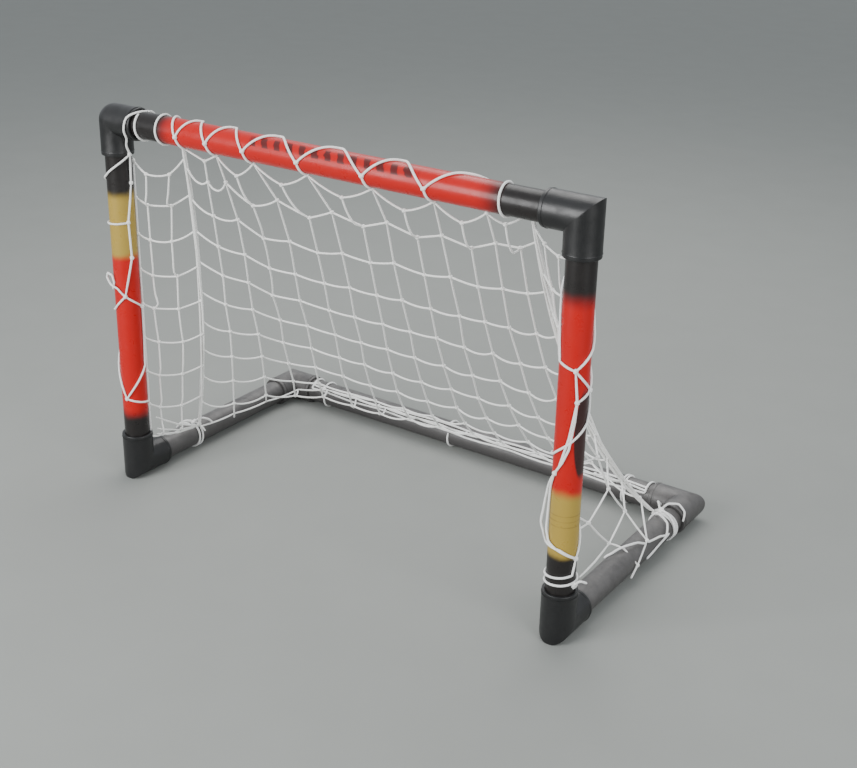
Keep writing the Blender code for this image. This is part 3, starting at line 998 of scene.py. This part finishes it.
def build_side_tie(side, tie_y, turns, material):
    tube = Vector((side * POST_X, 0, GROUND_Z))
    inward = X_AXIS * -side
    word = "left" if side < 0 else "right"
    stops = [(tie_y - 0.010, 60), (tie_y + 0.012, 60 + 360 * turns)]
    paths = [wrap_points(tube, Y_AXIS, inward, Z_AXIS, stops)]
    cross = [(tie_y + 0.016, 20), (tie_y - 0.016, 160)]
    paths.append(wrap_points(tube, Y_AXIS, inward, Z_AXIS, cross, WRAP_R + 2 * CORD_R))
    top = wrap_points(tube, Y_AXIS, inward, Z_AXIS, [(tie_y, 75), (tie_y, 75)], WRAP_R + CORD_R)[0]
    tail = [top, top + Vector((-side * 0.012, 0.014, 0.012)), top + Vector((-side * 0.022, 0.034, 0.004)),
            top + Vector((-side * 0.020, 0.050, -0.012))]
    paths.append(smooth_path(tail, 5))
    knots = [(top, Y_AXIS), (top + Vector((0, 0.007, 0.003)), X_AXIS)]
    if side > 0:
        paths += right_tie_loops(tube)
    return lacing_piece(word + "_tie_cord", paths, knots, material, [word + "_side_tie"], "base")


# ---------------------------------------------------------------- build

def build_frame_pieces():
    fitting = moulded_plastic("black_moulded", (0.004, 0.004, 0.0045), (0.10, 0.10, 0.10), 0.14, 0.30, 0.44)
    ground = moulded_plastic("dusty_dark_tube", (0.050, 0.047, 0.047), (0.27, 0.26, 0.25), 0.45, 0.34, 0.52)
    top = CROSSBAR_Z - ELBOW_ARM
    low = GROUND_Z + ELBOW_ARM
    right_bands = ((0.0, BLACK), (0.108, BLACK), (0.132, GOLD), (0.300, GOLD), (0.340, RED),
                   (0.855, RED), (0.915, BLACK), (1.0, BLACK))
    left_bands = ((0.0, BLACK), (0.055, BLACK), (0.115, RED), (0.640, RED), (0.672, GOLD),
                  (0.850, GOLD), (0.890, BLACK), (1.0, BLACK))
    bar_bands = ((0.0, BLACK), (0.073, BLACK), (0.116, RED), (0.860, RED), (0.925, BLACK), (1.0, BLACK))
    right = painted_tube("right_post_paint", "Z", low, top, right_bands, post_flash)
    left = painted_tube("left_post_paint", "Z", low, top, left_bands)
    bar = painted_tube("crossbar_paint", "X", -POST_X + ELBOW_ARM, POST_X - ELBOW_ARM, bar_bands,
                       crossbar_marks)
    fine_tube("left_post", "left_post_tube", Z_AXIS, X_AXIS, left, "arch")
    fine_tube("right_post", "right_post_tube", Z_AXIS, X_AXIS, right, "arch")
    fine_tube("crossbar", "crossbar_tube", X_AXIS, Y_AXIS, bar, "arch")
    fine_tube("left_ground_tube", "left_side_tube", Y_AXIS, X_AXIS, ground, "base")
    fine_tube("right_ground_tube", "right_side_tube", Y_AXIS, X_AXIS, ground, "base")
    fine_tube("rear_bar", "rear_bar_tube", X_AXIS, Y_AXIS, ground, "base")
    for name, side in (("left", -1), ("right", 1)):
        x = side * POST_X
        upper = Vector((x, FRONT_Y, CROSSBAR_Z))
        foot = Vector((x, FRONT_Y, GROUND_Z))
        rear = Vector((x, REAR_Y, GROUND_Z))
        fine_elbow("upper_" + name + "_fitting", "top_" + name + "_elbow", upper, X_AXIS * -side,
                   -Z_AXIS, fitting, "arch", side < 0)
        fine_elbow(name + "_foot_fitting", name + "_foot_elbow", foot, Y_AXIS, Z_AXIS, fitting, "base")
        fine_elbow("rear_" + name + "_fitting", "rear_" + name + "_elbow", rear, X_AXIS * -side,
                   -Y_AXIS, ground, "base")


def build_net_pieces():
    twine = twine_material("net_twine", (0.95, 0.95, 0.92))
    cord = twine_material("lacing_cord", (0.95, 0.95, 0.93))
    build_back_net(twine)
    build_left_net(twine)
    build_right_net(twine)
    build_bundle(-1, 5, twine)
    build_bundle(1, 6, twine)
    build_crossbar_lacing(cord)
    build_left_lacing(cord)
    build_right_lacing(cord)
    build_foot_wrap(cord)
    build_rear_lacing(cord)
    build_side_tie(-1, LEFT_TIE_Y, 2, cord)
    build_side_tie(1, RIGHT_TIE_Y, 3, cord)


def build_stage():
    bm = bmesh.new()
    reach = 60.0
    corners = ((-reach, -reach), (reach, -reach), (reach, reach), (-reach, reach))
    bm.faces.new([bm.verts.new((x, y, FLOOR_Z)) for x, y in corners])
    mesh = bpy.data.meshes.new("floor")
    bm.to_mesh(mesh)
    bm.free()
    material, tree, shader = new_material("pale_floor")
    place = add_node(tree, "TexCoord").outputs["Object"]
    color = mix_color(tree, noise(tree, place, 6.0), (0.255, 0.265, 0.25), (0.275, 0.285, 0.27))
    tree.links.new(color, shader.inputs["Base Color"])
    shader.inputs["Roughness"].default_value = 0.9
    mesh.materials.append(material)
    floor = bpy.data.objects.new("floor", mesh)
    bpy.context.scene.collection.objects.link(floor)


def add_area_light(name, place, target, size, power, color):
    data = bpy.data.lights.new(name, "AREA")
    data.shape = "RECTANGLE"
    data.size = size
    data.size_y = size
    data.energy = power
    data.color = color
    item = bpy.data.objects.new(name, data)
    item.location = place
    item.rotation_mode = "QUATERNION"
    item.rotation_quaternion = (Vector(target) - Vector(place)).to_track_quat("-Z", "Y")
    bpy.context.scene.collection.objects.link(item)


def build_lights():
    world = bpy.data.worlds.new("studio")
    world.use_nodes = True
    background = world.node_tree.nodes["Background"]
    background.inputs["Color"].default_value = (0.90, 0.95, 1.0, 1.0)
    background.inputs["Strength"].default_value = 0.75
    bpy.context.scene.world = world
    add_area_light("overhead", (-0.6, 1.4, 3.2), (0, 0, 0.4), 2.6, 80, (1.0, 0.99, 0.97))
    add_area_light("front", (-1.2, -3.6, 1.7), (0, 0, 0.45), 2.2, 165, (1.0, 1.0, 1.0))
    add_area_light("side", (3.6, -1.4, 1.6), (0, 0, 0.4), 2.0, 70, (1.0, 1.0, 1.0))


def build_camera():
    data = bpy.data.cameras.new("camera")
    data.sensor_width = 36.0
    data.lens = 57.55
    data.shift_x = 0.0228
    data.shift_y = -0.0239
    item = bpy.data.objects.new("camera", data)
    place = Matrix.Translation((1.707, -2.416, 1.604))
    turn = Matrix.Rotation(math.radians(35.105), 4, "Z")
    tilt = Matrix.Rotation(math.radians(67.030), 4, "X")
    roll = Matrix.Rotation(math.radians(0.887), 4, "Z")
    item.matrix_world = place @ turn @ tilt @ roll
    bpy.context.scene.collection.objects.link(item)
    bpy.context.scene.camera = item


build_frame_pieces()
build_net_pieces()
build_stage()
build_lights()
build_camera()
